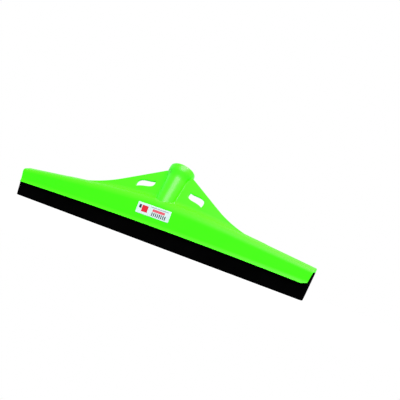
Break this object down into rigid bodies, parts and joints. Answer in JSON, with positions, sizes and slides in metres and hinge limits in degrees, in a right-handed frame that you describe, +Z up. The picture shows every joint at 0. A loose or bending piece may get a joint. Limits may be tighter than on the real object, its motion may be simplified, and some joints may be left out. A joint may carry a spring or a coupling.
{
  "type": "floor squeegee",
  "caption": "Floor squeegee head: a long moulded plastic channel with an arched roof, a tilted handle socket on a cut-out web, and black foam strips that slide out at the end for replacement.",
  "frame": {"origin": "middle of the front foam strip's bottom face, on the floor", "axes": "+X along the squeegee's length, +Y from its front wall to its back, +Z up along the foam strips"},
  "size_m": [0.4, 0.0551, 0.1057],
  "materials": {
    "head_plastic": "glossy bright green moulded plastic",
    "foam": "matt black closed-cell foam",
    "label_paper": "smooth white sticker"
  },
  "bodies": {
    "squeegee_head": {"head": "head_plastic", "label": "label_paper"},
    "front_strip": {"front_foam_strip": "foam"},
    "rear_strip": {"rear_foam_strip": "foam"}
  },
  "joints": [
    {"name": "front_strip_slide", "type": "slide", "parent": "squeegee_head", "child": "front_strip", "axis": [1, 0, 0], "range_m": [0, 0.41]},
    {"name": "rear_strip_slide", "type": "slide", "parent": "squeegee_head", "child": "rear_strip", "axis": [1, 0, 0], "range_m": [0, 0.41]}
  ]
}
